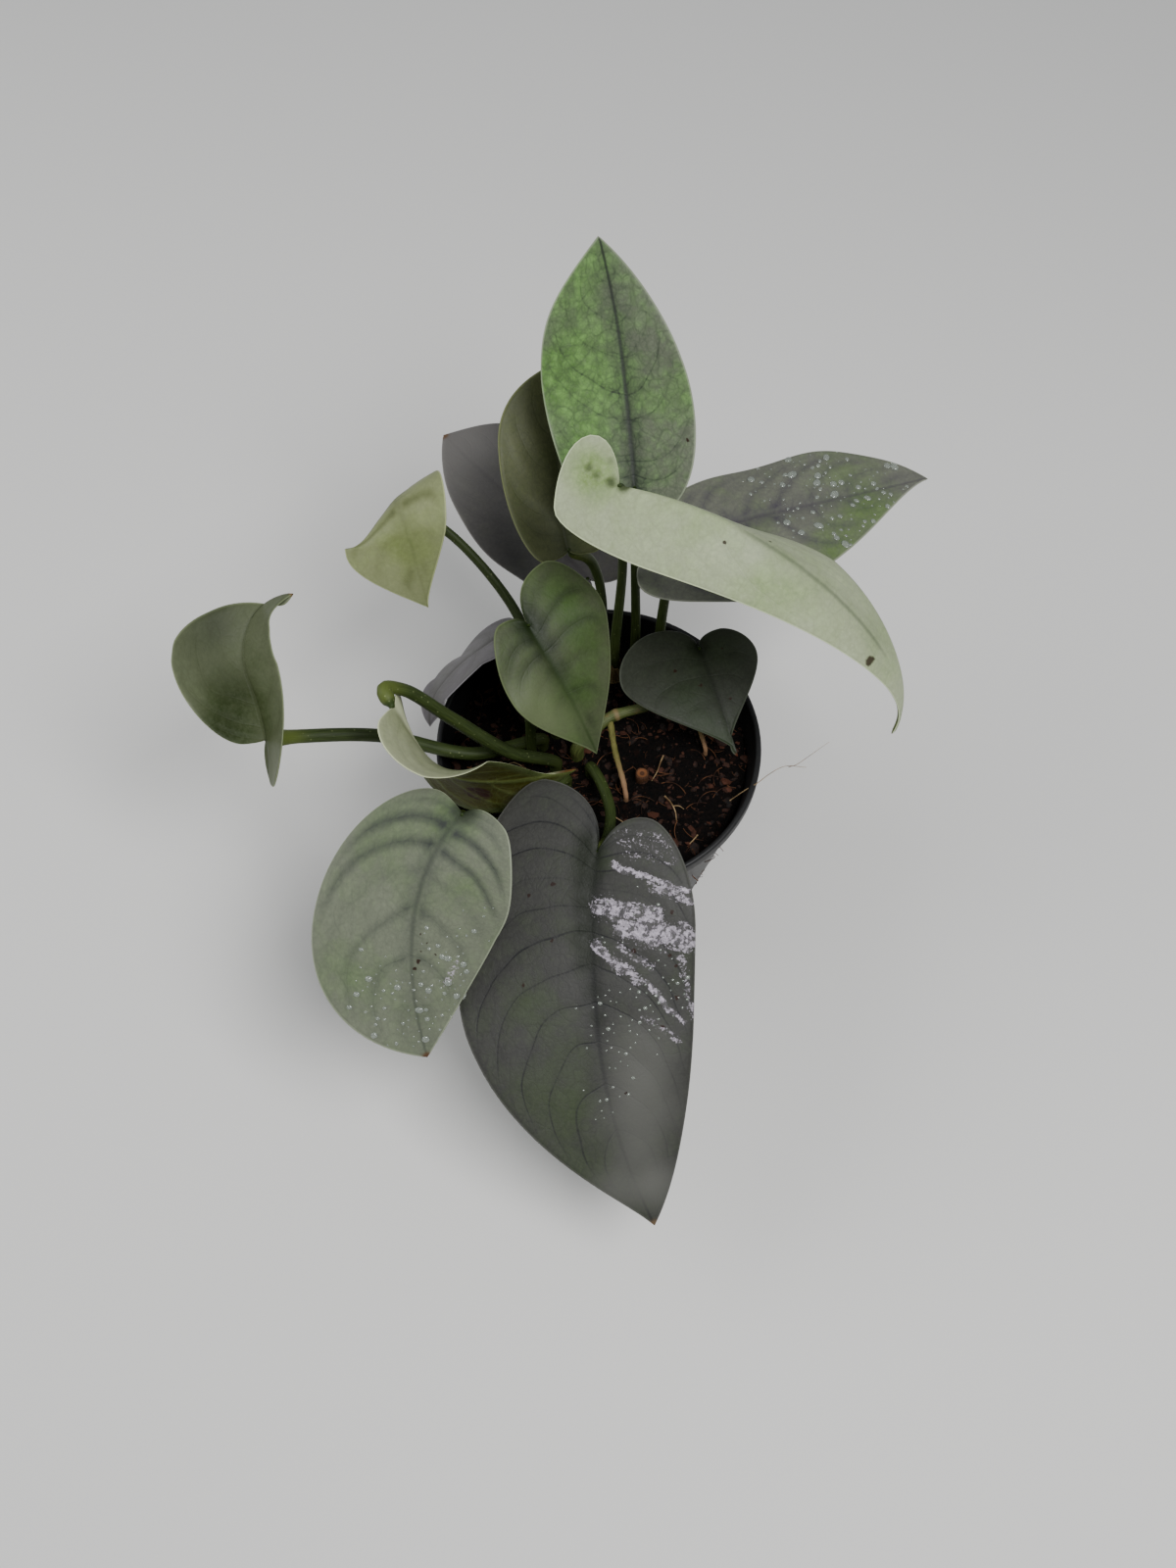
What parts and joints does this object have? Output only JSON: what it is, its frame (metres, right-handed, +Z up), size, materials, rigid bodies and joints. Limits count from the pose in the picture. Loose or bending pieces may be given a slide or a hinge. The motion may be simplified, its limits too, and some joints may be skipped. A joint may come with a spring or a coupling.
{
  "type": "potted platinum scindapsus",
  "caption": "Aroid house plant with thick silver-green heart-shaped leaves on slender stalks, rooted in a filled black nursery pot.",
  "frame": {"origin": "centre of the pot's flat underside, on the surface that it stands on", "axes": "+Z up along the pot's axis; -Y is the side that the two largest leaves hang over; millimetre model, metres here"},
  "size_m": [0.2685, 0.3047, 0.2346],
  "materials": {
    "pot": "black moulded nursery pot",
    "potting_mix": "damp peat and bark chips",
    "stem": "smooth green stem",
    "stem_cut": "dry cut end",
    "sheath": "dry papery sheath",
    "root": "brown aerial root",
    "petiole": "satin green stalk",
    "leaf_silver": "pale silver-green satin leaf",
    "leaf_olive": "olive silver-green satin leaf",
    "leaf_grey": "dark grey-violet satin leaf"
  },
  "bodies": {
    "root": {"pot": "pot", "soil": "potting_mix", "vine": "stem", "petiole_01": "petiole", "petiole_02": "petiole", "petiole_03": "petiole", "petiole_04": "petiole", "petiole_05": "petiole", "petiole_06": "petiole", "petiole_07": "petiole", "petiole_08": "petiole", "petiole_09": "petiole", "petiole_10": "petiole", "petiole_11": "petiole", "petiole_12": "petiole", "petiole_13": "petiole", "blade_01": "leaf_silver", "blade_02": "leaf_olive", "blade_03": "leaf_silver", "blade_04": "leaf_silver", "blade_05": "leaf_grey", "blade_06": "leaf_olive", "blade_07": "leaf_grey", "blade_08": "leaf_silver", "blade_09": "leaf_silver", "blade_10": "leaf_silver", "blade_11": "leaf_silver", "blade_12": "leaf_grey", "blade_13": "leaf_grey", "aerial_root_long": "root", "aerial_root_short": "root", "cut_stem": "stem_cut", "dry_sheath": "sheath"}
  },
  "joints": []
}
